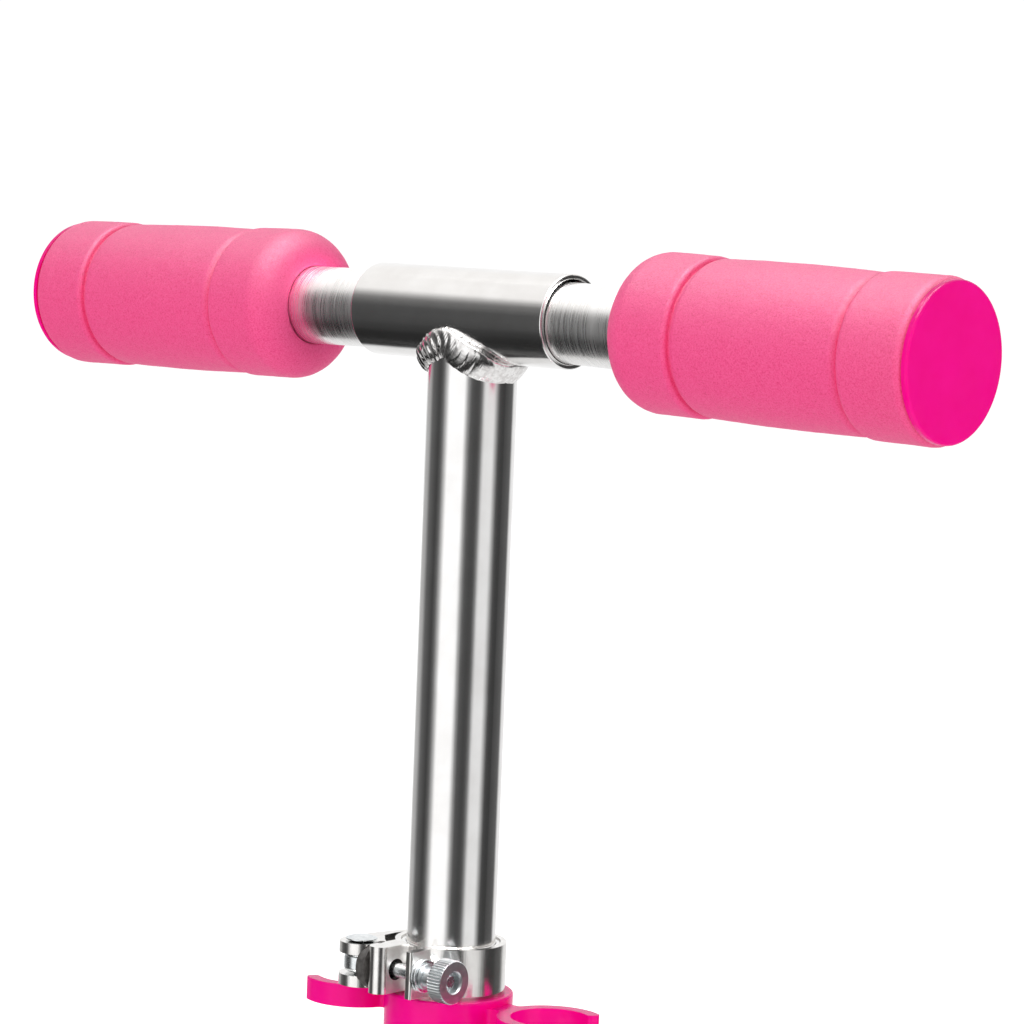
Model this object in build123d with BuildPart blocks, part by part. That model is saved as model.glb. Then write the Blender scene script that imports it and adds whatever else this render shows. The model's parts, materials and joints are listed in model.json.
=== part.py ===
"""Steering column of a child's kick scooter: T-bar, telescoping stem, quick-release clamp and handle holder.

Units are millimetres. The origin is on the stem's axis at the column's lower end, +Z up the stem, +X along
the crossbar towards the right handle, and -Y towards the front, where the clamp's split and bolt are.
"""

import os
from math import cos, radians, sin

from build123d import *

os.makedirs("parts", exist_ok=True)

# Stem
COLUMN_R = 14.0
COLUMN_BORE_R = 12.6
COLUMN_LENGTH = 420.6
FOOT_R = 13.75
FOOT_LENGTH = 45.0
STEM_R = 12.5
STEM_WALL = 1.5
STEM_FOOT_Z = 230.0
SLOT_WIDTH = 3.0
SLOT_DEPTH = 22.0
BAR_Z = 596.5

# Crossbar and handles; each handle hangs down by the play of its tube in the sleeve, turned about its button
SLEEVE_R = 13.0
SLEEVE_BORE_R = 11.5
SLEEVE_HALF = 35.4
HANDLE_R = 11.1
HANDLE_BORE_R = 9.6
HANDLE_START = 5.0
HANDLE_END = 159.0
HANDLE_DROOP = {"left": 0.6, "right": 1.3}
WELD_LEG = 3.4
WELD_TOP_DROP = 1.5

# Foam grips: raised bands at both ends of a slightly slimmer middle
GRIP_START = 61.5
GRIP_END = 159.3
INNER_STEP = 84.8
OUTER_STEP = 139.3
BAND_R = 21.6
MIDDLE_R = 21.3
GROOVE_R = 20.4
STEP_RUN = 4.0
INNER_END_ROUND = 9.0
CAP_R = 20.8
CAP_FACE = 161.0
CAP_PLUG_LENGTH = 18.0
CAP_PLUG_R = 9.55
CAP_PLUG_WALL = 2.0

# Snap buttons and their leaf springs
BUTTON_R = 3.0
BUTTON_HOLE_R = 3.3
BUTTON_X = 20.0
BUTTON_PROUD = 1.4
LEAF_THICKNESS = 0.6
LEAF_WIDTH = 8.0
LEAF_REST = 8.2
LEAF_OVERHANG = 6.0
HANDLE_LEAF_LENGTH = 20.0
HEIGHT_LEAF_REST = 9.6
HEIGHT_LEAF_LENGTH = 24.0
CORD_R = 1.5
CORD_KNOT_R = 3.2
CORD_PLUG_R = 9.55
CORD_PLUG_START = 50.0
CORD_PLUG_LENGTH = 6.0

# Height holes in the column, one pitch apart; the button rests in the third from the bottom
HEIGHT_PITCH = 60.0
HEIGHT_BUTTON_Z = STEM_FOOT_Z + 14.0
HEIGHT_HOLES_BELOW = 2
HEIGHT_HOLES_ABOVE = 1

# Clamp
CLAMP_BASE_Z = 407.8
CLAMP_HEIGHT = 13.2
COLLAR_R = 15.7
BOLT_Y = -18.5
BOLT_Z = 414.3
SPLIT_HALF = 3.4
THIN_EAR_END = 5.8
THICK_EAR_END = -9.4
THIN_EAR_TIP = -22.4
THICK_EAR_TIP = -25.0
THIN_EAR_ROUND = 0.7
BOLT_HOLE_R = 2.4
EAR_HOLE_R = 3.0
SKEWER_R = 2.0
SKEWER_END = 17.2
WASHER_R = 4.65
WASHER_T = 1.0
WASHER_START = 5.9
NUT_START = 8.1
NUT_FLANGE_END = 9.0
NUT_FLANGE_R = 3.7
NUT_HEAD_START = 13.6
NUT_END = 18.5
NUT_NECK_R = 2.8
NUT_HEAD_R = 6.15
NUT_COUNTERBORE_R = 2.9
NUT_COUNTERBORE_DEPTH = 3.0
NUT_CHAMFER = 0.35
KNURL_COUNT = 44
KNURL_CUT = 0.55

# Cam lever
PIVOT_X = -17.0
CAM_OFFSET = 0.45
CAM_R = 6.5
CUP_GAP = 0.1
CUP_R = 9.0
PRONG_T = 3.1
PRONG_SPREAD = 6.0
ARM_INNER_R = 17.0
ARM_OUTER_R = 19.4
ARM_START_ANGLE = 175.0
ARM_END_ANGLE = 108.0
NECK_BULGE = (-21.4, -6.4)
NECK_HOLLOW = ((-17.8, -3.5), (-17.5, -8.5))
TAB_R = 2.4
PRONG_SLOT_DEPTH = 5.0
EYE_R = 4.7
EYE_T = 5.2
EYE_ROUND = 1.3
RIVET_R = 1.9
RIVET_HEAD_R = 4.45
RIVET_HEAD_T = 1.6
RIVET_SEAT_R = 2.9
RIVET_LIFT = 0.45
RIVET_FOOT_R = 3.0
RIVET_FOOT_T = 0.8
SADDLE_R = 6.9
SADDLE_END = -12.4

# Handle holder
HOLDER_R = 18.1
HOLDER_BASE_Z = 366.0
HOLDER_TOP_Z = CLAMP_BASE_Z - 1.0
HOLDER_BORE_R = COLUMN_R + 0.02
CLIP_ANGLE = {"left": 0.0, "right": 3.8}
CLIP_X = 36.0
CLIP_INNER_R = 11.2
CLIP_OUTER_R = 14.9
CLIP_MOUTH_ANGLE = 58.0
CLIP_END_ROUND = 1.2
CLIP_BASE_Z = 398.3
CLIP_TOP_Z = 404.8
CLIP_WEB_WIDTH = 9.0
CLIP_WEB_FILLET = 1.6
SIDES = {"left": -1, "right": 1}
CLEAR = 0.02
BAR = Plane(origin=(0, 0, BAR_Z), x_dir=(0, 1, 0), z_dir=(1, 0, 0))
BOLT = Plane(origin=(0, BOLT_Y, BOLT_Z), x_dir=(0, 1, 0), z_dir=(1, 0, 0))
PIVOT = Plane(origin=(PIVOT_X, BOLT_Y, BOLT_Z))


def facing_back(x, z):
    """A plane on the stem's middle that looks towards +Y, at x and z."""
    return Plane(origin=(x, 0, z), x_dir=(-1, 0, 0), z_dir=(0, 1, 0))


def write(piece, name):
    piece.label = name
    export_step(piece, f"parts/{name}.step")


# ---------------------------------------------------------------- outer column
with BuildPart() as column_tube:
    with BuildSketch():
        Circle(COLUMN_R)
        Circle(COLUMN_BORE_R, mode=Mode.SUBTRACT)
    extrude(amount=COLUMN_LENGTH)
    chamfer(column_tube.edges().group_by(Axis.Z)[-1], length=0.3)
    with BuildSketch():
        Circle(COLUMN_R + 1)
        Circle(FOOT_R, mode=Mode.SUBTRACT)
    extrude(amount=FOOT_LENGTH, mode=Mode.SUBTRACT)
    with BuildSketch(Plane.XZ.offset(COLUMN_BORE_R / 2)):
        with Locations((0, COLUMN_LENGTH)):
            Rectangle(SLOT_WIDTH, 2 * SLOT_DEPTH)
    extrude(amount=COLUMN_R, mode=Mode.SUBTRACT)
    for step in range(-HEIGHT_HOLES_BELOW, HEIGHT_HOLES_ABOVE + 1):
        with BuildSketch(facing_back(0, HEIGHT_BUTTON_Z + step * HEIGHT_PITCH)):
            Circle(BUTTON_HOLE_R)
        extrude(amount=COLUMN_R + 1, mode=Mode.SUBTRACT)
write(column_tube.part, "column_tube")

# ---------------------------------------------------------------- crossbar and stem
with BuildPart() as crossbar_sleeve:
    with BuildSketch(BAR.offset(-SLEEVE_HALF)):
        Circle(SLEEVE_R)
        Circle(SLEEVE_BORE_R, mode=Mode.SUBTRACT)
    extrude(amount=2 * SLEEVE_HALF)
    fillet(crossbar_sleeve.edges().filter_by(GeomType.CIRCLE), radius=0.45)
    for sign in SIDES.values():
        with BuildSketch(facing_back(sign * BUTTON_X, BAR_Z)):
            Circle(BUTTON_HOLE_R)
        extrude(amount=SLEEVE_R + 1, mode=Mode.SUBTRACT)
write(crossbar_sleeve.part, "crossbar_sleeve")

with BuildPart() as upper_tube:
    with BuildSketch(Plane.XY.offset(STEM_FOOT_Z)):
        Circle(STEM_R)
        Circle(STEM_R - STEM_WALL, mode=Mode.SUBTRACT)
    extrude(amount=BAR_Z - STEM_FOOT_Z)
    with BuildSketch(BAR.offset(-SLEEVE_HALF)):
        Circle(SLEEVE_R + 2 * CLEAR)
    extrude(amount=2 * SLEEVE_HALF, mode=Mode.SUBTRACT)
    with BuildSketch(facing_back(0, HEIGHT_BUTTON_Z)):
        Circle(BUTTON_HOLE_R)
    extrude(amount=STEM_R + 1, mode=Mode.SUBTRACT)
write(upper_tube.part, "upper_tube")


# The bead fills the crotch between the two tubes: outside both, and within one leg of each
with BuildPart() as tee_weld:
    with BuildSketch(Plane.XY.offset(BAR_Z - 2 * SLEEVE_R)):
        Circle(STEM_R + WELD_LEG)
        Circle(STEM_R + CLEAR, mode=Mode.SUBTRACT)
    extrude(amount=2 * SLEEVE_R - WELD_TOP_DROP)
    with BuildSketch(BAR.offset(-SLEEVE_HALF)):
        Circle(SLEEVE_R + WELD_LEG)
    extrude(amount=2 * SLEEVE_HALF, mode=Mode.INTERSECT)
    with BuildSketch(BAR.offset(-SLEEVE_HALF)):
        Circle(SLEEVE_R + CLEAR)
    extrude(amount=2 * SLEEVE_HALF, mode=Mode.SUBTRACT)
write(tee_weld.part, "tee_weld")

CORD_KNOT_X = CORD_PLUG_START + CORD_PLUG_LENGTH + CORD_KNOT_R
with BuildPart() as retaining_cord:
    with BuildSketch(BAR.offset(-CORD_KNOT_X)):
        Circle(CORD_R)
    extrude(amount=2 * CORD_KNOT_X)
    with Locations((-CORD_KNOT_X, 0, BAR_Z), (CORD_KNOT_X, 0, BAR_Z)):
        Sphere(CORD_KNOT_R)
write(retaining_cord.part, "retaining_cord")


def leaf_spring(plane, leg_start, bend_start, reach):
    """A U of flat strip: the long leg at +reach carries the button, the short one rests on the far wall."""
    inner = reach - LEAF_THICKNESS
    short_start = (leg_start + bend_start) / 2
    with BuildPart() as leaf:
        with BuildSketch(plane):
            with BuildLine():
                Polyline((bend_start, inner), (leg_start, inner))
                Polyline((leg_start, inner), (leg_start, reach), (bend_start, reach))
                ThreePointArc((bend_start, reach), (bend_start + reach, 0), (bend_start, -reach))
                Polyline((bend_start, -reach), (short_start, -reach))
                Polyline((short_start, -reach), (short_start, -inner), (bend_start, -inner))
                ThreePointArc((bend_start, -inner), (bend_start + inner, 0), (bend_start, inner))
            make_face()
        extrude(amount=LEAF_WIDTH / 2, both=True)
    return leaf.part


def snap_button(plane, start, end):
    """A round button with a domed head, standing on the leaf."""
    with BuildPart() as button:
        with BuildSketch(plane.offset(start)):
            Circle(BUTTON_R)
        extrude(amount=end - start)
        rim = button.faces().sort_by(Axis.Y)[-1].edges()
        fillet(rim, radius=1.2)
    return button.part


height_plane = Plane(origin=(0, 0, HEIGHT_BUTTON_Z), x_dir=(0, 0, 1), z_dir=(-1, 0, 0))
write(leaf_spring(height_plane, -LEAF_OVERHANG, HEIGHT_LEAF_LENGTH, HEIGHT_LEAF_REST), "height_button_spring")
height_button = snap_button(facing_back(0, HEIGHT_BUTTON_Z), HEIGHT_LEAF_REST, COLUMN_R + BUTTON_PROUD)
write(height_button, "height_button")

# ---------------------------------------------------------------- handles, one on each side
for side, sign in SIDES.items():
    droop = Rot(0, sign * HANDLE_DROOP[side], 0)
    hang = Pos(sign * BUTTON_X, 0, BAR_Z) * droop * Pos(-sign * BUTTON_X, 0, -BAR_Z)
    outward = Plane(origin=(0, 0, BAR_Z), x_dir=(0, 1, 0), z_dir=(sign, 0, 0))
    section = Plane(origin=(0, 0, BAR_Z), x_dir=(sign, 0, 0), z_dir=(0, 0, sign))

    with BuildPart() as handle_tube:
        with BuildSketch(outward.offset(HANDLE_START)):
            Circle(HANDLE_R)
            Circle(HANDLE_BORE_R, mode=Mode.SUBTRACT)
        extrude(amount=HANDLE_END - HANDLE_START)
        chamfer(handle_tube.edges().filter_by(GeomType.CIRCLE), length=0.4)
        with BuildSketch(facing_back(sign * BUTTON_X, BAR_Z)):
            Circle(BUTTON_HOLE_R)
        extrude(amount=HANDLE_R + 1, mode=Mode.SUBTRACT)
    write(hang * handle_tube.part, f"{side}_handle_tube")

    with BuildPart() as grip:
        with BuildSketch(section):
            with BuildLine():
                Polyline(
                    (GRIP_START + INNER_END_ROUND, BAND_R),
                    (INNER_STEP, BAND_R),
                    (INNER_STEP, GROOVE_R),
                    (INNER_STEP + STEP_RUN, MIDDLE_R),
                    (OUTER_STEP - STEP_RUN, MIDDLE_R),
                    (OUTER_STEP, GROOVE_R),
                    (OUTER_STEP, BAND_R),
                    (GRIP_END, BAND_R),
                    (GRIP_END, HANDLE_R),
                    (GRIP_START, HANDLE_R),
                    (GRIP_START, BAND_R - INNER_END_ROUND),
                )
                corner = (GRIP_START + INNER_END_ROUND, BAND_R - INNER_END_ROUND)
                CenterArc(corner, INNER_END_ROUND, 90, 90)
            make_face()
        revolve(axis=Axis((0, 0, BAR_Z), (1, 0, 0)))
    write(hang * grip.part, f"{side}_grip")

    with BuildPart() as end_cap:
        with BuildSketch(outward.offset(GRIP_END)):
            Circle(CAP_R)
        extrude(amount=CAP_FACE - GRIP_END)
        fillet(end_cap.edges().group_by(Axis.X)[-1 if sign > 0 else 0], radius=0.7)
        with BuildSketch(outward.offset(GRIP_END)):
            Circle(CAP_PLUG_R)
            Circle(CAP_PLUG_R - CAP_PLUG_WALL, mode=Mode.SUBTRACT)
        extrude(amount=-CAP_PLUG_LENGTH)
    write(hang * end_cap.part, f"{side}_end_cap")

    with BuildPart() as cord_plug:
        with BuildSketch(outward.offset(CORD_PLUG_START)):
            Circle(CORD_PLUG_R)
            Circle(CORD_R + 1.1, mode=Mode.SUBTRACT)
        extrude(amount=CORD_PLUG_LENGTH)
    write(hang * cord_plug.part, f"{side}_cord_plug")

    with BuildPart() as button_spring:
        add(leaf_spring(section, BUTTON_X - LEAF_OVERHANG, BUTTON_X + HANDLE_LEAF_LENGTH, LEAF_REST))
        with BuildSketch(outward.offset(BUTTON_X)):
            Circle(CORD_R + 1.3)
        extrude(amount=CORD_PLUG_START - BUTTON_X, mode=Mode.SUBTRACT)
    write(hang * button_spring.part, f"{side}_button_spring")

    button = snap_button(facing_back(sign * BUTTON_X, BAR_Z), LEAF_REST, SLEEVE_R + BUTTON_PROUD)
    write(button, f"{side}_button")

# ---------------------------------------------------------------- clamp
ear_width = -SPLIT_HALF - THICK_EAR_END
ear_middle = (THICK_EAR_END - SPLIT_HALF) / 2
ear_square = -THICK_EAR_TIP - ear_width / 2
with BuildPart() as clamp_collar:
    with BuildSketch(Plane.XY.offset(CLAMP_BASE_Z)):
        Circle(COLLAR_R)
        with Locations(((SPLIT_HALF + THIN_EAR_END) / 2, THIN_EAR_TIP / 2)):
            Rectangle(THIN_EAR_END - SPLIT_HALF, -THIN_EAR_TIP)
        with Locations((ear_middle, -ear_square / 2)):
            Rectangle(ear_width, ear_square)
        with Locations((ear_middle, -ear_square)):
            Circle(ear_width / 2)
    extrude(amount=CLAMP_HEIGHT)
    upright = clamp_collar.edges().filter_by(Axis.Z)
    fillet(upright.filter_by(lambda e: abs(e.center().Y - THIN_EAR_TIP) < 0.01), radius=THIN_EAR_ROUND)
    with BuildSketch(Plane.XY.offset(CLAMP_BASE_Z)):
        Circle(COLUMN_R + CLEAR)
        with Locations((0, -COLLAR_R)):
            Rectangle(2 * SPLIT_HALF, 2 * COLLAR_R)
    extrude(amount=CLAMP_HEIGHT, mode=Mode.SUBTRACT)
    with BuildSketch(BOLT):
        Circle(BOLT_HOLE_R)
    extrude(amount=THIN_EAR_END, mode=Mode.SUBTRACT)
    with BuildSketch(BOLT.offset(THIN_EAR_END)):
        Circle(WASHER_R + 0.5)
    extrude(amount=COLLAR_R, mode=Mode.SUBTRACT)
    with BuildSketch(BOLT):
        Circle(EAR_HOLE_R)
    extrude(amount=THICK_EAR_END, mode=Mode.SUBTRACT)
write(clamp_collar.part, "clamp_collar")

with BuildPart() as saddle_washer:
    with BuildSketch(BOLT.offset(THICK_EAR_END)):
        Circle(SADDLE_R)
        Circle(BOLT_HOLE_R, mode=Mode.SUBTRACT)
    extrude(amount=SADDLE_END - THICK_EAR_END)
    with BuildSketch(PIVOT):
        with Locations((CAM_R + CAM_OFFSET + CUP_GAP - CUP_R, 0)):
            Circle(CUP_R)
        with Locations((-PIVOT_X, -BOLT_Y)):
            Circle(COLLAR_R + CUP_GAP)
    extrude(amount=SADDLE_R + 1, both=True, mode=Mode.SUBTRACT)
write(saddle_washer.part, "saddle_washer")

with BuildPart() as skewer:
    with BuildSketch(BOLT.offset(PIVOT_X + EYE_R / 2)):
        Circle(SKEWER_R)
    extrude(amount=SKEWER_END - PIVOT_X - EYE_R / 2)
    chamfer(skewer.edges().group_by(Axis.X)[-1], length=0.4)
    with BuildSketch(PIVOT):
        Circle(EYE_R)
    extrude(amount=EYE_T / 2, both=True)
    eye_rims = skewer.edges().filter_by(GeomType.CIRCLE).filter_by(lambda e: abs(e.radius - EYE_R) < 0.01)
    fillet(eye_rims.filter_by(lambda e: abs(abs(e.center().Z - BOLT_Z) - EYE_T / 2) < 0.01), radius=EYE_ROUND)
    with BuildSketch(PIVOT):
        Circle(RIVET_R + 0.05)
    extrude(amount=EYE_T, both=True, mode=Mode.SUBTRACT)
write(skewer.part, "skewer")


def on_ring(reach, angle):
    """A point at reach from the stem's axis, angle degrees from +X."""
    return (reach * cos(radians(angle)), reach * sin(radians(angle)))


# The lever: a cam round the pivot, a neck past the thick ear, and an arm wrapped round the collar
cam_x = PIVOT_X + CAM_OFFSET
lever_height = 2 * PRONG_T + PRONG_SPREAD
lever_plane = Plane.XY.offset(BOLT_Z - lever_height / 2)
arm_middle = (ARM_START_ANGLE + ARM_END_ANGLE) / 2
with BuildPart() as cam_lever:
    with BuildSketch(lever_plane):
        with Locations((cam_x, BOLT_Y)):
            Circle(CAM_R)
        with BuildLine():
            neck_outer = (cam_x - CAM_R, BOLT_Y)
            neck_inner = (cam_x + CAM_R * cos(radians(60)), BOLT_Y + CAM_R * sin(radians(60)))
            arm_outer = on_ring(ARM_OUTER_R, ARM_START_ANGLE)
            arm_inner = on_ring(ARM_INNER_R, ARM_START_ANGLE)
            outer_end = on_ring(ARM_OUTER_R, ARM_END_ANGLE)
            inner_end = on_ring(ARM_INNER_R, ARM_END_ANGLE)
            ThreePointArc(neck_outer, NECK_BULGE, arm_outer)
            ThreePointArc(arm_outer, on_ring(ARM_OUTER_R, arm_middle), outer_end)
            Line(outer_end, inner_end)
            ThreePointArc(inner_end, on_ring(ARM_INNER_R, arm_middle), arm_inner)
            Polyline(arm_inner, *NECK_HOLLOW, neck_inner, neck_outer)
        make_face()
        with Locations(on_ring(ARM_OUTER_R + 0.4, ARM_END_ANGLE)):
            Circle(TAB_R)
    extrude(amount=lever_height)
    with BuildSketch(Plane.XY.offset(BOLT_Z - PRONG_SPREAD / 2)):
        with Locations((cam_x, BOLT_Y + PRONG_SLOT_DEPTH - CAM_R)):
            Rectangle(3 * CAM_R, 2 * CAM_R)
    extrude(amount=PRONG_SPREAD, mode=Mode.SUBTRACT)
    with BuildSketch(PIVOT):
        Circle(RIVET_R + CLEAR)
    extrude(amount=lever_height, both=True, mode=Mode.SUBTRACT)
write(cam_lever.part, "cam_lever")

with BuildPart() as pivot_rivet:
    with BuildSketch(Plane(origin=PIVOT.origin, x_dir=(1, 0, 0), z_dir=(0, -1, 0))):
        with BuildLine():
            top = lever_height / 2
            dome_edge = (RIVET_HEAD_R, top + RIVET_LIFT + 0.25)
            Polyline(
                (0, top + RIVET_HEAD_T),
                (0, -top - RIVET_FOOT_T),
                (RIVET_FOOT_R, -top - RIVET_FOOT_T),
                (RIVET_FOOT_R, -top),
                (RIVET_R, -top),
                (RIVET_R, top),
                (RIVET_SEAT_R, top),
                (RIVET_HEAD_R, top + RIVET_LIFT),
                dome_edge,
            )
            TangentArc((0, top + RIVET_HEAD_T), dome_edge, tangent=(1, 0))
        make_face()
    revolve(axis=Axis(PIVOT.origin, (0, 0, 1)))
write(pivot_rivet.part, "pivot_rivet")

with BuildPart() as clamp_washers:
    for count in range(2):
        with BuildSketch(BOLT.offset(WASHER_START + count * (WASHER_T + 0.08))):
            Circle(WASHER_R)
            Circle(SKEWER_R + 0.05, mode=Mode.SUBTRACT)
        extrude(amount=WASHER_T)
    circles = clamp_washers.edges().filter_by(GeomType.CIRCLE)
    fillet(circles.filter_by(lambda e: e.radius > SKEWER_R + 1), radius=0.3)
write(clamp_washers.part, "clamp_washers")

with BuildPart() as thumb_nut:
    with BuildSketch(BOLT.offset(NUT_HEAD_START)):
        Circle(NUT_HEAD_R)
    extrude(amount=NUT_END - NUT_HEAD_START)
    chamfer(thumb_nut.edges(), length=NUT_CHAMFER)
    with BuildSketch(BOLT.offset(NUT_HEAD_START)):
        with PolarLocations(NUT_HEAD_R, KNURL_COUNT):
            Rectangle(KNURL_CUT, KNURL_CUT, rotation=45)
    extrude(amount=NUT_END - NUT_HEAD_START, mode=Mode.SUBTRACT)
    with BuildSketch(BOLT.offset(NUT_START)):
        Circle(NUT_FLANGE_R)
    extrude(amount=NUT_FLANGE_END - NUT_START)
    with BuildSketch(BOLT.offset(NUT_FLANGE_END)):
        Circle(NUT_NECK_R)
    extrude(amount=NUT_HEAD_START - NUT_FLANGE_END)
    with BuildSketch(BOLT.offset(NUT_START)):
        Circle(SKEWER_R + 0.05)
    extrude(amount=NUT_END - NUT_START, mode=Mode.SUBTRACT)
    with BuildSketch(BOLT.offset(NUT_END)):
        Circle(NUT_COUNTERBORE_R)
    extrude(amount=-NUT_COUNTERBORE_DEPTH, mode=Mode.SUBTRACT)
    rims = thumb_nut.edges().filter_by(GeomType.CIRCLE)
    counterbore_rims = rims.filter_by(lambda e: abs(e.radius - NUT_COUNTERBORE_R) < 0.01)
    chamfer(counterbore_rims.sort_by(Axis.X)[-1], length=NUT_CHAMFER)
write(thumb_nut.part, "thumb_nut")

# ---------------------------------------------------------------- handle holder
with BuildSketch() as outline:
    Circle(HOLDER_R)
    for side, sign in SIDES.items():
        with BuildSketch(mode=Mode.PRIVATE) as clip:
            with Locations((CLIP_X, 0)):
                Circle(CLIP_OUTER_R)
            with Locations((CLIP_X / 2, 0)):
                Rectangle(CLIP_X, CLIP_WEB_WIDTH)
            Circle(HOLDER_R)
            roots = clip.vertices().filter_by(lambda v: abs(abs(v.Y) - CLIP_WEB_WIDTH / 2) < 0.01 and v.X > 0)
            fillet(roots, radius=CLIP_WEB_FILLET)
            with Locations((CLIP_X, 0)):
                Circle(CLIP_INNER_R, mode=Mode.SUBTRACT)
            mouth_x = 3 * CLIP_OUTER_R * cos(radians(CLIP_MOUTH_ANGLE))
            mouth_y = 3 * CLIP_OUTER_R * sin(radians(CLIP_MOUTH_ANGLE))
            with BuildLine():
                Polyline((CLIP_X, 0), (CLIP_X + mouth_x, mouth_y), (CLIP_X + mouth_x, -mouth_y), close=True)
            make_face(mode=Mode.SUBTRACT)
            fillet(clip.vertices().filter_by(lambda v: v.X > CLIP_X), radius=CLIP_END_ROUND)
        add(clip.sketch, rotation=CLIP_ANGLE[side] + (0 if sign > 0 else 180))

with BuildPart() as grip_holder:
    with BuildSketch(Plane.XY.offset(HOLDER_BASE_Z)):
        Circle(HOLDER_R)
    extrude(amount=HOLDER_TOP_Z - HOLDER_BASE_Z)
    fillet(grip_holder.edges().group_by(Axis.Z)[-1], radius=0.7)
    with BuildSketch(Plane.XY.offset(CLIP_BASE_Z)):
        add(outline.sketch)
    extrude(amount=CLIP_TOP_Z - CLIP_BASE_Z)
    with BuildSketch(Plane.XY.offset(HOLDER_BASE_Z)):
        Circle(HOLDER_BORE_R)
    extrude(amount=HOLDER_TOP_Z - HOLDER_BASE_Z, mode=Mode.SUBTRACT)
write(grip_holder.part, "grip_holder")
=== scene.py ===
"""A child's kick scooter T-bar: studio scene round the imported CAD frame.

Everything is in metres, in the CAD frame: +Z up the stem, +X to the right handle, -Y to the front.
"""
import json
import math

import bpy
from mathutils import Matrix, Vector, noise


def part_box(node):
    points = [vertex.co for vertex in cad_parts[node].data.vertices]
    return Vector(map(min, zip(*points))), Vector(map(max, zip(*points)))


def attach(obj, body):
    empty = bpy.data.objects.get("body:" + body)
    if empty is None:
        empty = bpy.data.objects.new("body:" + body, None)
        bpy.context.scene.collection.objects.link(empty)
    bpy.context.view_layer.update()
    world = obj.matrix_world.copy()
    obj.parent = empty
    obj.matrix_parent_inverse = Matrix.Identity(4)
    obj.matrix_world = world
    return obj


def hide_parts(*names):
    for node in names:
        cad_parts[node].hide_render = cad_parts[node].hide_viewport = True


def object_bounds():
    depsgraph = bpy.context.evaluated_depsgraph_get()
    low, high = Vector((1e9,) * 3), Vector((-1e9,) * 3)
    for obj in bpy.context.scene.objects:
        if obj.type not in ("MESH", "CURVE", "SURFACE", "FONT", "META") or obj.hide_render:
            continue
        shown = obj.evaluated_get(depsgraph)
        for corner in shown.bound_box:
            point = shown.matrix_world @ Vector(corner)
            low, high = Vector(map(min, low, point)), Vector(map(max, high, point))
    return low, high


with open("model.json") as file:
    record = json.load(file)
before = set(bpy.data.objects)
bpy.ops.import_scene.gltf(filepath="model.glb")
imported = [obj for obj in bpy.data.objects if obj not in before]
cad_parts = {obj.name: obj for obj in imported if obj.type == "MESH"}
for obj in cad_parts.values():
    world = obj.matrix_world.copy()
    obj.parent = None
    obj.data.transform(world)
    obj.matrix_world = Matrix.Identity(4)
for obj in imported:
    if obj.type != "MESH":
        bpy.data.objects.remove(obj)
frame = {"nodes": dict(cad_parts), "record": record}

cad_low, cad_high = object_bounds()
record = frame["record"]
nodes = frame["nodes"]
MM = 0.001
SIDES = {"left": -1, "right": 1}

sleeve_low, sleeve_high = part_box("crossbar_sleeve")
stem_low, stem_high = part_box("upper_tube")
BAR_Z = (sleeve_low.z + sleeve_high.z) / 2
SLEEVE_R = (sleeve_high.z - sleeve_low.z) / 2
STEM_R = (stem_high.x - stem_low.x) / 2
HANDLE_R = (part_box("right_handle_tube")[1].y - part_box("right_handle_tube")[0].y) / 2
joint_axes = {joint["name"]: Vector(joint["axis"]) for joint in record["behaviour"]["joints"]}


# ------------------------------------------------------------------ camera
CAMERA_AZIMUTH = math.radians(41.319)
CAMERA_ELEVATION = math.radians(5.22)
CAMERA_ROLL = math.radians(2.264)
CAMERA_DISTANCE = 1.0151
CAMERA_SHIFT_RIGHT = 0.010275
CAMERA_SHIFT_UP = -0.054547
CAMERA_LENS_MM = 128.93
SENSOR_MM = 36.0


def make_camera():
    """A long lens at the front right, a little above the crossbar."""
    back = Vector((
        math.sin(CAMERA_AZIMUTH) * math.cos(CAMERA_ELEVATION),
        -math.cos(CAMERA_AZIMUTH) * math.cos(CAMERA_ELEVATION),
        math.sin(CAMERA_ELEVATION),
    ))
    level_right = Vector((0, 0, 1)).cross(back).normalized()
    level_up = back.cross(level_right)
    right = level_right * math.cos(CAMERA_ROLL) + level_up * math.sin(CAMERA_ROLL)
    up = back.cross(right)
    data = bpy.data.cameras.new("camera")
    data.lens = CAMERA_LENS_MM
    data.sensor_fit = "HORIZONTAL"
    data.sensor_width = SENSOR_MM
    data.clip_start = 0.05
    data.clip_end = 50
    camera = bpy.data.objects.new("camera", data)
    bpy.context.scene.collection.objects.link(camera)
    place = Vector((0, 0, BAR_Z)) + back * CAMERA_DISTANCE + right * CAMERA_SHIFT_RIGHT + up * CAMERA_SHIFT_UP
    turn = Matrix((right, up, back)).transposed().to_4x4()
    camera.matrix_world = Matrix.Translation(place) @ turn
    bpy.context.scene.camera = camera


make_camera()
bpy.context.scene.view_settings.view_transform = "Standard"


# ------------------------------------------------------------------ studio
# The room is built from its reflections. Heights run from 0, straight down, to 1, straight up; turns are
# shares of a circle from behind the part, through the camera's left (0.25), the camera (0.5) and its right.
# Brightness at eye level, by degrees round from the camera's side, right positive:
STUDIO_BANDS = (
    (-180, 1.00), (-158, 0.95), (-146, 0.50), (-127, 0.42), (-116, 0.13), (-100, 0.085), (-88, 0.05),
    (-76, 0.12), (-66, 0.55), (-59, 1.15), (-20, 1.15), (-12, 0.38), (-4, 0.09), (11, 0.055), (20, 0.07),
    (27, 0.20), (34, 0.80), (60, 0.84), (67, 0.42), (76, 0.07), (88, 0.047), (100, 0.047), (111, 0.09),
    (130, 0.12), (140, 0.80), (180, 1.00),
)
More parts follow.
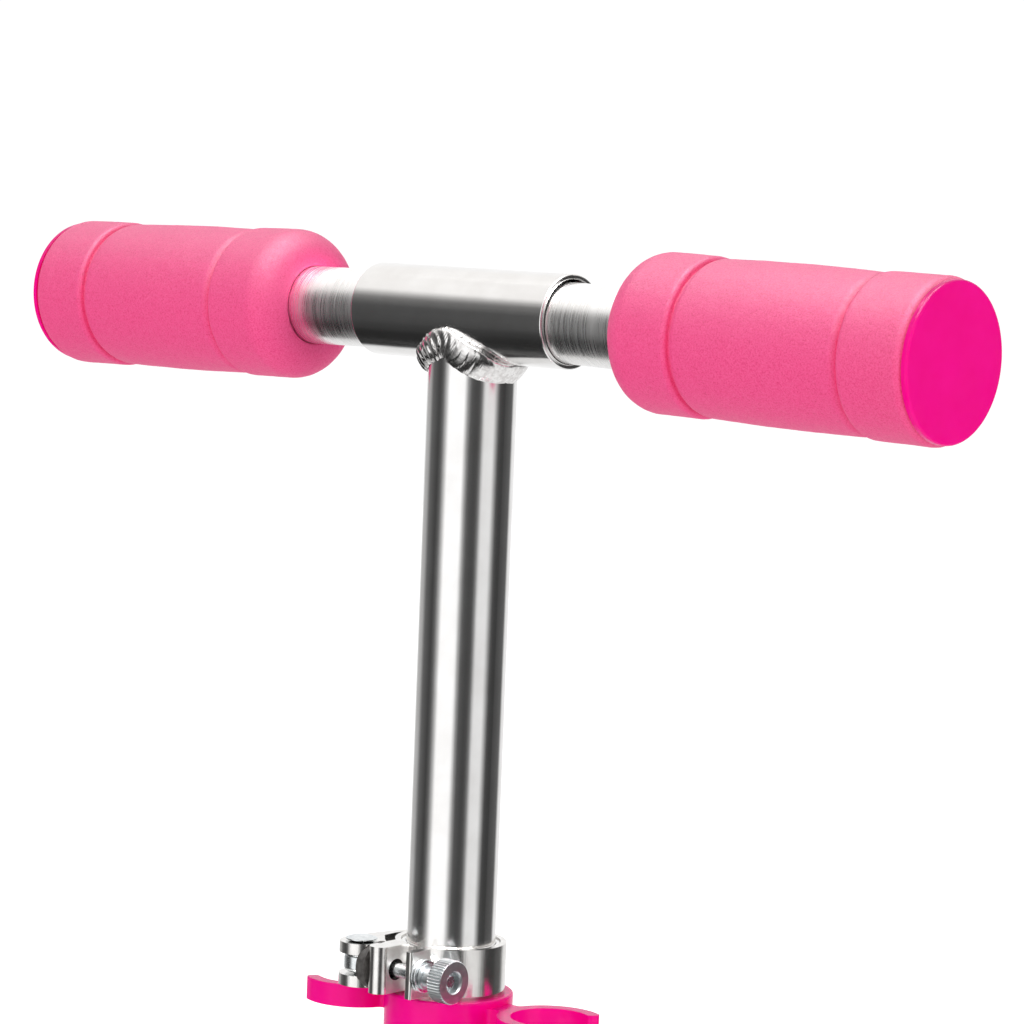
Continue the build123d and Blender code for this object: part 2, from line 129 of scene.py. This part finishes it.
# Brightness of the ground by turn: white behind and to the right, dark to the left and towards the camera.
GROUND_LEVELS = (
    (0.0, 0.92), (0.080, 0.86), (0.100, 0.022), (0.30, 0.025), (0.57, 0.025), (0.61, 0.86), (1.0, 0.92),
)
# By height: the share of the ground in the room, the white spot straight below and the overhead soft box.
GROUND_SHARE = ((0.20, 1.0), (0.33, 0.0))
SPOT_SHARE = ((0.085, 1.0), (0.112, 0.0))
OVERHEAD_SHARE = ((0.56, 0.0), (0.63, 0.06), (0.69, 0.14), (0.74, 0.45), (0.79, 1.0))
SPOT_WHITE = (0.92, 0.92, 0.92, 1)
OVERHEAD_WHITE = (1.0, 0.985, 0.97, 1)
BACKDROP_STRENGTH = 1.05
# What matt surfaces see of the room, by height:
MATT_LEVELS = ((0.25, 0.88), (0.50, 0.68), (0.75, 0.55), (1.0, 0.48))
LIGHTS_AIM_BELOW_BAR = 0.1


def node(tree, kind, **values):
    """A shader node with its properties set."""
    made = tree.nodes.new(kind)
    for name, value in values.items():
        setattr(made, name, value)
    return made


def math_node(tree, operation, *values):
    """A math node fed by sockets or numbers; returns its output socket."""
    made = node(tree, "ShaderNodeMath", operation=operation)
    for socket, value in zip(made.inputs, values):
        if isinstance(value, bpy.types.NodeSocket):
            tree.links.new(value, socket)
        else:
            socket.default_value = value
    return made.outputs[0]


def ramp_node(tree, factor, stops):
    """A linear colour ramp; stops are (position, grey or colour)."""
    made = node(tree, "ShaderNodeValToRGB")
    elements = made.color_ramp.elements
    while len(elements) < len(stops):
        elements.new(0.5)
    for element, (position, colour) in zip(elements, stops):
        element.position = position
        element.color = (*colour, 1) if hasattr(colour, "__len__") else (colour, colour, colour, 1)
    tree.links.new(factor, made.inputs[0])
    return made.outputs[0]


def mix_colours(tree, factor, first, second):
    """Mixes two colours, each a socket or a value, by a factor socket."""
    made = node(tree, "ShaderNodeMix", data_type="RGBA")
    tree.links.new(factor, made.inputs["Factor"])
    for name, value in (("A", first), ("B", second)):
        if isinstance(value, bpy.types.NodeSocket):
            tree.links.new(value, made.inputs[name])
        else:
            made.inputs[name].default_value = value
    return made.outputs["Result"]


def make_world():
    """A white backdrop to the camera, a banded room in reflections and even light for matt surfaces."""
    world = bpy.data.worlds.new("studio")
    bpy.context.scene.world = world
    world.use_nodes = True
    tree = world.node_tree
    tree.nodes.clear()
    direction = node(tree, "ShaderNodeTexCoord").outputs["Generated"]
    turned = node(tree, "ShaderNodeVectorRotate", rotation_type="Z_AXIS")
    tree.links.new(direction, turned.inputs["Vector"])
    turned.inputs["Angle"].default_value = -CAMERA_AZIMUTH
    axes = node(tree, "ShaderNodeSeparateXYZ")
    tree.links.new(turned.outputs[0], axes.inputs[0])
    towards = math_node(tree, "MULTIPLY", axes.outputs["Y"], -1)
    angle = math_node(tree, "ARCTAN2", axes.outputs["X"], towards)
    share = math_node(tree, "ADD", math_node(tree, "DIVIDE", angle, 2 * math.pi), 0.5)
    top = max(level for _, level in STUDIO_BANDS)
    bands = ramp_node(tree, share, [(0.5 + turn / 360, level / top) for turn, level in STUDIO_BANDS])
    level_bands = node(tree, "ShaderNodeVectorMath", operation="SCALE")
    tree.links.new(bands, level_bands.inputs[0])
    level_bands.inputs["Scale"].default_value = top
    height = math_node(tree, "ADD", math_node(tree, "MULTIPLY", axes.outputs["Z"], 0.5), 0.5)
    ground_by_turn = ramp_node(tree, share, GROUND_LEVELS)
    ground = mix_colours(tree, ramp_node(tree, height, SPOT_SHARE), ground_by_turn, SPOT_WHITE)
    lower = mix_colours(tree, ramp_node(tree, height, GROUND_SHARE), level_bands.outputs[0], ground)
    mixed = mix_colours(tree, ramp_node(tree, height, OVERHEAD_SHARE), lower, OVERHEAD_WHITE)
    room = node(tree, "ShaderNodeBackground")
    tree.links.new(mixed, room.inputs["Color"])
    soft = node(tree, "ShaderNodeBackground")
    tree.links.new(ramp_node(tree, height, MATT_LEVELS), soft.inputs["Color"])
    paths = node(tree, "ShaderNodeLightPath")
    lit = node(tree, "ShaderNodeMixShader")
    tree.links.new(paths.outputs["Is Diffuse Ray"], lit.inputs[0])
    tree.links.new(room.outputs[0], lit.inputs[1])
    tree.links.new(soft.outputs[0], lit.inputs[2])
    white = node(tree, "ShaderNodeBackground")
    white.inputs["Color"].default_value = (1, 1, 1, 1)
    white.inputs["Strength"].default_value = BACKDROP_STRENGTH
    choose = node(tree, "ShaderNodeMixShader")
    tree.links.new(paths.outputs["Is Camera Ray"], choose.inputs[0])
    tree.links.new(lit.outputs[0], choose.inputs[1])
    tree.links.new(white.outputs[0], choose.inputs[2])
    output = node(tree, "ShaderNodeOutputWorld")
    tree.links.new(choose.outputs[0], output.inputs["Surface"])


def area_light(name, azimuth, elevation, distance, size, watts, mirrored=False):
    """A soft box, placed in degrees from the camera's side, that lights matt surfaces or only mirrors."""
    data = bpy.data.lights.new(name, "AREA")
    data.shape = "SQUARE"
    data.size = size
    data.energy = watts
    light = bpy.data.objects.new(name, data)
    bpy.context.scene.collection.objects.link(light)
    turn = CAMERA_AZIMUTH + math.radians(azimuth)
    rise = math.radians(elevation)
    back = Vector((math.sin(turn) * math.cos(rise), -math.cos(turn) * math.cos(rise), math.sin(rise)))
    light.location = Vector((0, 0, BAR_Z - LIGHTS_AIM_BELOW_BAR)) + back * distance
    light.rotation_mode = "QUATERNION"
    light.rotation_quaternion = back.to_track_quat("Z", "Y")
    light.visible_glossy = mirrored
    light.visible_diffuse = not mirrored


make_world()
area_light("top_softbox", azimuth=0, elevation=82, distance=1.6, size=1.6, watts=84, mirrored=True)
area_light("front_left_softbox", azimuth=-40, elevation=15, distance=2.0, size=1.4, watts=11)
area_light("front_right_softbox", azimuth=45, elevation=5, distance=2.0, size=1.2, watts=9.5)


# ------------------------------------------------------------------ materials
class Finish:
    """A Principled material with procedural detail in object coordinates, scaled in millimetres."""

    def __init__(self, name, **sockets):
        self.material = bpy.data.materials.new(name)
        self.material.use_nodes = True
        self.tree = self.material.node_tree
        self.shader = self.tree.nodes["Principled BSDF"]
        for socket, value in sockets.items():
            self.shader.inputs[socket.replace("_", " ")].default_value = value
        self.coordinates = node(self.tree, "ShaderNodeTexCoord").outputs["Object"]

    def grain(self, size, stretch=(1, 1, 1), detail=3.0, roughness=0.5):
        """Noise whose features are size mm, drawn out by stretch along each axis; returns its factor."""
        mapping = node(self.tree, "ShaderNodeMapping")
        self.tree.links.new(self.coordinates, mapping.inputs["Vector"])
        mapping.inputs["Scale"].default_value = [1 / (size * MM * s) for s in stretch]
        made = node(self.tree, "ShaderNodeTexNoise")
        self.tree.links.new(mapping.outputs[0], made.inputs["Vector"])
        made.inputs["Scale"].default_value = 1.0
        made.inputs["Detail"].default_value = detail
        made.inputs["Roughness"].default_value = roughness
        return made.outputs["Fac"]

    def colour(self, factor, stops):
        """The base colour by a factor; stops are (factor, colour)."""
        self.tree.links.new(ramp_node(self.tree, factor, stops), self.shader.inputs["Base Color"])

    def roughness(self, factor, low, high):
        """Roughness from low to high as a noise factor runs over its usual span, 0.3 to 0.7."""
        spread = node(self.tree, "ShaderNodeMapRange")
        self.tree.links.new(factor, spread.inputs["Value"])
        spread.inputs["From Min"].default_value = 0.3
        spread.inputs["From Max"].default_value = 0.7
        spread.inputs["To Min"].default_value = low
        spread.inputs["To Max"].default_value = high
        self.tree.links.new(spread.outputs[0], self.shader.inputs["Roughness"])

    def bump(self, *layers):
        """Stacked bumps; each layer is (factor, depth in mm)."""
        last = None
        for factor, depth in layers:
            made = node(self.tree, "ShaderNodeBump")
            made.inputs["Distance"].default_value = depth * MM
            made.inputs["Strength"].default_value = 1.0
            self.tree.links.new(factor, made.inputs["Height"])
            if last is not None:
                self.tree.links.new(last, made.inputs["Normal"])
            last = made.outputs[0]
        self.tree.links.new(last, self.shader.inputs["Normal"])


def polished_tube(name, along):
    """Bright drawn aluminium: hairlines along the tube, faint cloudiness from handling."""
    made = Finish(name, Metallic=1.0, Roughness=0.14)
    stretch = [1, 1, 1]
    stretch[along] = 60
    hairline = made.grain(0.35, stretch, detail=4)
    cloud = made.grain(9)
    made.colour(cloud, [(0.3, (0.86, 0.85, 0.84)), (0.7, (0.93, 0.925, 0.92))])
    made.roughness(made.grain(2.5, stretch, detail=5), 0.10, 0.19)
    made.bump((hairline, 0.004), (made.grain(5), 0.01))
    return made.material


def brushed_tube():
    """Aluminium brushed round its circumference, which draws reflections out along the tube's height."""
    made = Finish("brushed_handle", Metallic=1.0, Roughness=0.24)
    made.colour(made.grain(7), [(0.3, (0.84, 0.83, 0.82)), (0.7, (0.92, 0.915, 0.91))])
    made.roughness(made.grain(0.35, (1, 40, 40), detail=4), 0.20, 0.38)
    made.bump((made.grain(0.15, (1, 60, 60), detail=2), 0.0012), (made.grain(4), 0.006))
    return made.material


def clamp_metal():
    """Extruded aluminium: striations along the extrusion, soft polish, and duller sawn sides on the ears."""
    made = Finish("extruded_aluminium", Metallic=1.0, Roughness=0.2)
    tree = made.tree
    striation = made.grain(0.5, (1, 1, 80), detail=5, roughness=0.65)
    facing = node(tree, "ShaderNodeSeparateXYZ")
    tree.links.new(node(tree, "ShaderNodeTexCoord").outputs["Normal"], facing.inputs[0])
    place = node(tree, "ShaderNodeSeparateXYZ")
    tree.links.new(made.coordinates, place.inputs[0])
    sideways = math_node(tree, "GREATER_THAN", math_node(tree, "ABSOLUTE", facing.outputs["X"]), 0.99)
    on_ear = math_node(tree, "LESS_THAN", place.outputs["Y"], -STEM_R - 1.0 * MM)
    sawn = math_node(tree, "MULTIPLY", sideways, on_ear)
    worn = math_node(tree, "MULTIPLY_ADD", made.grain(1.2), 0.2, 0.24)
    made.colour(made.grain(4), [(0.3, (0.80, 0.78, 0.76)), (0.7, (0.90, 0.89, 0.87))])
    made.roughness(math_node(tree, "MULTIPLY_ADD", sawn, 0.4, worn), 0.12, 0.46)
    made.bump((striation, 0.025), (made.grain(0.8), 0.004))
    return made.material


def weld_metal():
    """Bright weld bead with a little oxide in the ripples."""
    made = Finish("weld_bead", Metallic=1.0, Roughness=0.22)
    made.colour(made.grain(1.5), [(0.35, (0.72, 0.70, 0.69)), (0.6, (0.90, 0.89, 0.88))])
    made.roughness(made.grain(0.8), 0.10, 0.24)
    made.bump((made.grain(0.9, detail=4), 0.03))
    return made.material


def zinc_plate(name, roughness=0.24):
    """Bright zinc on turned steel: slightly blue, a little mottled."""
    made = Finish(name, Metallic=1.0, Roughness=roughness)
    made.colour(made.grain(2.2), [(0.35, (0.72, 0.76, 0.78)), (0.65, (0.84, 0.87, 0.88))])
    made.roughness(made.grain(0.8), roughness - 0.05, roughness + 0.07)
    made.bump((made.grain(2.0), 0.002))
    return made.material


def spring_steel():
    """Dark tempered strip with a faint drawn grain."""
    made = Finish("tempered_strip", Metallic=1.0, Roughness=0.3)
    made.colour(made.grain(3), [(0.3, (0.30, 0.31, 0.34)), (0.7, (0.48, 0.49, 0.52))])
    made.roughness(made.grain(0.5, (20, 1, 1)), 0.24, 0.42)
    made.bump((made.grain(0.3, (20, 1, 1)), 0.006))
    return made.material


def moulded_nylon(name, dark, light):
    """Dull moulded nylon with a faint flow pattern."""
    made = Finish(name, Roughness=0.55)
    made.colour(made.grain(1.6), [(0.35, dark), (0.65, light)])
    made.roughness(made.grain(0.5), 0.45, 0.62)
    made.bump((made.grain(0.25), 0.012))
    return made.material


def gloss_plastic():
    """Saturated moulded plastic: glossy, with slow sink waviness and a fine orange peel."""
    made = Finish("pink_plastic", Roughness=0.2)
    made.shader.inputs["Specular IOR Level"].default_value = 0.18
    made.shader.inputs["Subsurface Weight"].default_value = 0.15
    made.shader.inputs["Subsurface Radius"].default_value = (1.0, 0.1, 0.4)
    made.shader.inputs["Subsurface Scale"].default_value = 0.002
    made.colour(made.grain(12), [(0.3, (0.96, 0.0003, 0.255)), (0.7, (1.0, 0.0005, 0.285))])
    made.roughness(made.grain(3), 0.16, 0.26)
    made.bump((made.grain(8), 0.03), (made.grain(0.8), 0.003))
    return made.material


def foam_skin():
    """Closed-cell foam: fine pores with painted shade in the pits, soft lumps, a haze where it faces the
    overhead light.
    """
    made = Finish("pink_foam", Roughness=0.6)
    made.shader.inputs["Sheen Weight"].default_value = 0.05
    made.shader.inputs["Sheen Roughness"].default_value = 0.5
    made.shader.inputs["Sheen Tint"].default_value = (1.0, 0.85, 0.9, 1)
    made.shader.inputs["Specular IOR Level"].default_value = 0.75
    pores_and_pit_shade = made.grain(0.45, detail=6, roughness=0.65)
    # The colour follows the pore depth: random tone, plus painted shade that darkens the pits.
    made.colour(pores_and_pit_shade, [
        (0.30, (0.78, 0.018, 0.155)),
        (0.46, (0.93, 0.048, 0.240)),
        (0.62, (0.98, 0.085, 0.300)),
    ])
    made.roughness(made.grain(1.5), 0.55, 0.66)
    made.bump((made.grain(2.5), 0.12), (pores_and_pit_shade, 0.16))
    return made.material


def braided_cord():
    """Braided elastic: dull, coarse and drawn out along the cord, with painted shade in the braid's hollows.
    """
    made = Finish("braided_elastic", Roughness=0.8)
    # The colour uses the same noise as the bump, so its dark tone is random tone plus painted shade in the
    # hollows.
    made.colour(made.grain(0.5, (1.6, 1, 1)), [(0.4, (0.02, 0.02, 0.024)), (0.62, (0.10, 0.10, 0.11))])
    made.roughness(made.grain(0.4), 0.65, 0.9)
    made.bump((made.grain(0.5, (1.6, 1, 1)), 0.1))
    return made.material


ALONG_X, ALONG_Z = 0, 2
finishes = {
    "bar": polished_tube("polished_bar", ALONG_X),
    "stem": polished_tube("polished_stem", ALONG_Z),
    "handle": brushed_tube(),
    "clamp": clamp_metal(),
    "weld": weld_metal(),
    "zinc": zinc_plate("zinc_plate"),
    "rivet": zinc_plate("rivet_plate", 0.2),
    "nut": zinc_plate("nut_plate", 0.33),
    "strip": spring_steel(),
    "cup": moulded_nylon("cup_nylon", (0.045, 0.04, 0.038), (0.09, 0.085, 0.08)),
    "plug": moulded_nylon("plug_nylon", (0.015, 0.015, 0.017), (0.035, 0.035, 0.04)),
    "gloss": gloss_plastic(),
    "foam": foam_skin(),
    "cord": braided_cord(),
}
node_finish = {
    "column_tube": "stem", "upper_tube": "stem", "crossbar_sleeve": "bar", "clamp_collar": "clamp",
    "cam_lever": "clamp", "saddle_washer": "cup", "grip_holder": "gloss", "skewer": "zinc",
    "pivot_rivet": "rivet", "clamp_washers": "zinc", "thumb_nut": "nut", "tee_weld": "weld",
    "retaining_cord": "cord", "height_button": "zinc", "height_button_spring": "strip",
}
for side in SIDES:
    node_finish.update({
        f"{side}_handle_tube": "handle", f"{side}_grip": "foam", f"{side}_end_cap": "gloss",
        f"{side}_cord_plug": "plug", f"{side}_button": "zinc", f"{side}_button_spring": "strip",
    })
for name, finish in node_finish.items():
    for slot in nodes[name].material_slots:
        slot.material = finishes[finish]


# ------------------------------------------------------------------ mesh helpers
def mesh_object(name, points, faces, material):
    """A smooth-shaded mesh object in the CAD frame."""
    data = bpy.data.meshes.new(name)
    data.from_pydata([tuple(p) for p in points], [], faces)
    data.materials.append(material)
    data.shade_smooth()
    data.update()
    made = bpy.data.objects.new(name, data)
    bpy.context.scene.collection.objects.link(made)
    return made


def grid_faces(rows, columns, close_rows=False):
    """Quads over a grid of points, row by row, closed round each row."""
    last = rows if close_rows else rows - 1
    return [
        (
            r * columns + c,
            r * columns + (c + 1) % columns,
            (r + 1) % rows * columns + (c + 1) % columns,
            (r + 1) % rows * columns + c,
        )
        for r in range(last)
        for c in range(columns)
    ]


def arc(centre, radius, start, end, steps):
    """Points of an arc in a profile's plane, angles in degrees."""
    return [
        (
            centre[0] + radius * math.cos(math.radians(start + (end - start) * i / steps)),
            centre[1] + radius * math.sin(math.radians(start + (end - start) * i / steps)),
        )
        for i in range(steps + 1)
    ]


def resample(profile, spacing):
    """The profile with points about spacing apart, corners kept where they are."""
    points = [profile[0]]
    for (x0, r0), (x1, r1) in zip(profile, profile[1:]):
        steps = max(1, round(math.hypot(x1 - x0, r1 - r0) / spacing))
        points += [(x0 + (x1 - x0) * i / steps, r0 + (r1 - r0) * i / steps) for i in range(1, steps + 1)]
    return points


# ------------------------------------------------------------------ foam grips
FOAM_AROUND = 168
FOAM_SPACING = 0.75 * MM
# The two steps between the raised bands and the middle, by distance along the bar from the stem's axis:
INNER_STEP = 84.8 * MM
OUTER_STEP = 139.3 * MM
FOAM_LUMP = 0.10 * MM
FOAM_GRAIN = 0.05 * MM


def foam_profile(start, end, radius, bore):
    """(distance along the bar, radius) from the bore's inner end round the outside to its outer end."""
    middle = radius - 0.5 * MM
    belly = 0.35 * MM
    crease = radius - 1.7 * MM
    crease_half = 0.05 * MM
    inner_round = 8.5 * MM
    outer_round = 2.4 * MM
    lip = 1.4 * MM
    run_out = 3.0 * MM
    bore_round = 0.9 * MM
    turned_in = 5 * MM
    points = [(start + turned_in, bore), (start + bore_round, bore)]
    points += arc((start + bore_round, bore + bore_round), bore_round, 270, 180, 5)
    points += arc((start + inner_round, radius - inner_round), inner_round, 180, 90, 18)
    points += arc((INNER_STEP - lip, radius - lip), lip, 90, 5, 8)
    points += [(INNER_STEP + crease_half, crease)]
    points += arc((INNER_STEP + run_out, middle - run_out), run_out, 152, 90, 8)
    length = OUTER_STEP - INNER_STEP - 2 * run_out
    belly_steps = 12
    for i in range(1, belly_steps):
        share = i / belly_steps
        points.append((INNER_STEP + run_out + length * share, middle + belly * math.sin(math.pi * share)))
    points += arc((OUTER_STEP - run_out, middle - run_out), run_out, 90, 28, 8)
    points += [(OUTER_STEP - crease_half, crease)]
    points += arc((OUTER_STEP + lip, radius - lip), lip, 175, 90, 8)
    points += arc((end - outer_round, radius - outer_round), outer_round, 90, 0, 8)
    points += [(end, bore), (end - turned_in, bore)]
    return points


def make_grip(side, sign):
    """The foam sleeve, built round the bar's line and then turned to hang as the CAD's handle does."""
    cad_grip = nodes[f"{side}_grip"]
    button_low, button_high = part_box(f"{side}_button")
    pivot = Vector(((button_low.x + button_high.x) / 2, 0, BAR_Z))
    hang = Vector((sign, 0, 0)).rotation_difference(joint_axes[f"{side}_handle_pull"])
    back = hang.inverted()
    hung = [cad_grip.matrix_world @ vertex.co for vertex in cad_grip.data.vertices]
    straight = [back @ (spot - pivot) + pivot for spot in hung]
    start, end = min(abs(spot.x) for spot in straight), max(abs(spot.x) for spot in straight)
    radius = max(math.hypot(spot.y, spot.z - BAR_Z) for spot in straight)
    profile = resample(foam_profile(start, end, radius, HANDLE_R + 0.05 * MM), FOAM_SPACING)
    points = []
    for x, r in profile:
        for i in range(FOAM_AROUND):
            turn = 2 * math.pi * i / FOAM_AROUND * sign
            spot = Vector((sign * x, r * math.cos(turn), BAR_Z + r * math.sin(turn)))
            out = Vector((0, math.cos(turn), math.sin(turn)))
            lump = noise.noise(spot / (9 * MM)) * FOAM_LUMP + noise.noise(spot / (1.6 * MM)) * FOAM_GRAIN
            if r > HANDLE_R + 1 * MM:
                spot += out * (lump - FOAM_LUMP)
            points.append(hang @ (spot - pivot) + pivot)
    faces = grid_faces(len(profile), FOAM_AROUND)
    grip = mesh_object(f"{side}_foam_grip", points, faces, finishes["foam"])
    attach(grip, f"{side}_handle")
    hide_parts(f"{side}_grip")


for side, sign in SIDES.items():
    make_grip(side, sign)


# ------------------------------------------------------------------ weld
WELD_STEPS = 620
WELD_AROUND = 28
WELD_SUNK = 0.35 * MM
RIPPLE_PITCH = 2.1 * MM
RIPPLE_SHAPE = 0.6
RIPPLE_LAG = 1.9 * MM
RIPPLE_JITTER = 0.7 * MM
SEAM_SAG = 1.2 * MM
CREST_SAG = 3.0 * MM
LEFT_LIFT = 1.2 * MM
RIGHT_SAG = 0.4 * MM
BEAD_HALF_WIDTH = 3.9 * MM
BEAD_WIDER_RIGHT = 0.9 * MM
BEAD_RISE = 1.3 * MM
BEAD_RISE_IN_CORNER = 1.8 * MM
BEAD_WANDER = 0.5 * MM
BEAD_WAVER = 0.7 * MM
# How the bead turns into a fillet on the right: how soon, and how much lower, squarer and less rippled.
FILLET_ONSET = 0.4
FILLET_LOWER = 0.2
FILLET_SQUARER = 0.65
FILLET_CALMER = 0.85


def weld_seam():
    """Stations round the seam, from the bar's middle: (spot, way out of the stem, way out of the sleeve)."""
    seam = []
    for i in range(WELD_STEPS):
        turn = 2 * math.pi * i / WELD_STEPS
        right = math.cos(turn)
        x, y = STEM_R * right, STEM_R * math.sin(turn)
        drop = math.sqrt(SLEEVE_R**2 - y**2)
        sag = SEAM_SAG + CREST_SAG * abs(math.sin(turn)) ** 1.2
        sag += RIGHT_SAG * max(0, right) - LEFT_LIFT * max(0, -right)
        stem_out = Vector((right, math.sin(turn), 0))
        seam.append((Vector((x, y, -drop - sag)), stem_out, Vector((0, y, -drop)).normalized()))
    return seam


def push_out(first, second, radius):
    """The pair moved straight out to the radius if it lies nearer the axis than that."""
    reach = math.hypot(first, second)
    if reach < radius:
        return first * radius / reach, second * radius / reach
    return first, second


def make_weld():
    """A broad bead of overlapping ripples that sags down the stem where the seam rises.

    It is rippled on the left and runs out into a smooth flat fillet on the right.
    """
    seam = weld_seam()
    points = []
    travelled = 0.0
    for i, (spot, stem_out, sleeve_out) in enumerate(seam):
        ahead, behind = seam[(i + 1) % WELD_STEPS][0], seam[i - 1][0]
        travelled += (spot - behind).length
        tangent = (ahead - behind).normalized()
        out = stem_out + sleeve_out
        out = (out - tangent * out.dot(tangent)).normalized()
        across = tangent.cross(out)
        open_angle = math.acos(max(-1, min(1, stem_out.dot(sleeve_out))))
        corner = math.sin(open_angle / 2) / math.sin(math.pi / 4)
        smooth = max(0, spot.x / STEM_R) ** FILLET_ONSET
        rise = (BEAD_RISE + BEAD_RISE_IN_CORNER * corner) * (1 - FILLET_LOWER * smooth)
        wander = BEAD_WANDER * noise.noise(spot / (6 * MM))
        waver = BEAD_WAVER * noise.noise(spot / (5 * MM) + Vector((3, 1, 7)))
        half_width = BEAD_HALF_WIDTH + waver + BEAD_WIDER_RIGHT * smooth
        melt = 0.5 + 0.5 * noise.noise(spot / (7 * MM) + Vector((9, 2, 4)))
        ripple_height = (0.25 + 0.5 * melt) * (1 - FILLET_CALMER * smooth) * MM
        for j in range(WELD_AROUND):
            angle = 2 * math.pi * j / WELD_AROUND
            side_share = math.cos(angle)
            jitter = RIPPLE_JITTER * noise.noise(spot / (4 * MM) + Vector((side_share, 0, 0)))
            phase = (travelled + RIPPLE_LAG * side_share**2 + jitter) / RIPPLE_PITCH
            swell = ripple_height * ((phase % 1.0) ** RIPPLE_SHAPE - 0.5)
            sideways = side_share * (half_width + 0.6 * swell) + wander
            bulge = math.copysign(abs(math.sin(angle)) ** (1 - FILLET_SQUARER * smooth), math.sin(angle))
            place = spot + across * sideways + out * (bulge * (rise + swell))
            place.x, place.y = push_out(place.x, place.y, STEM_R - WELD_SUNK)
            place.y, place.z = push_out(place.y, place.z, SLEEVE_R - WELD_SUNK)
            points.append(place + Vector((0, 0, BAR_Z)))
    faces = grid_faces(WELD_STEPS, WELD_AROUND, close_rows=True)
    bead = mesh_object("weld_bead", points, faces, finishes["weld"])
    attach(bead, "tbar")
    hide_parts("tee_weld")


make_weld()


# ------------------------------------------------------------------ floor
FLOOR_REACH = 6.0
FLOOR_RINGS = 24
FLOOR_AROUND = 96
FLOOR_GLOW = 0.8


def make_floor():
    """A plain pale floor under the column's lower end; it casts nothing onto the part and isn't mirrored."""
    level = cad_low.z - 1 * MM
    points = [(0.0, 0.0, level)]
    for ring in range(1, FLOOR_RINGS + 1):
        r = FLOOR_REACH * (ring / FLOOR_RINGS) ** 2
        turns = [2 * math.pi * i / FLOOR_AROUND for i in range(FLOOR_AROUND)]
        points += [(r * math.cos(turn), r * math.sin(turn), level) for turn in turns]
    faces = [(0, 1 + i, 1 + (i + 1) % FLOOR_AROUND) for i in range(FLOOR_AROUND)]
    faces += [tuple(1 + v for v in face) for face in grid_faces(FLOOR_RINGS, FLOOR_AROUND)]
    made = Finish("floor_paper", Roughness=0.9)
    made.shader.inputs["Specular IOR Level"].default_value = 0.0
    made.colour(made.grain(40), [(0.3, (0.93, 0.93, 0.93)), (0.7, (0.96, 0.96, 0.96))])
    made.shader.inputs["Emission Color"].default_value = (1, 1, 1, 1)
    made.shader.inputs["Emission Strength"].default_value = FLOOR_GLOW
    floor = mesh_object("floor", points, faces, made.material)
    floor.visible_glossy = False
    floor.visible_diffuse = False


make_floor()
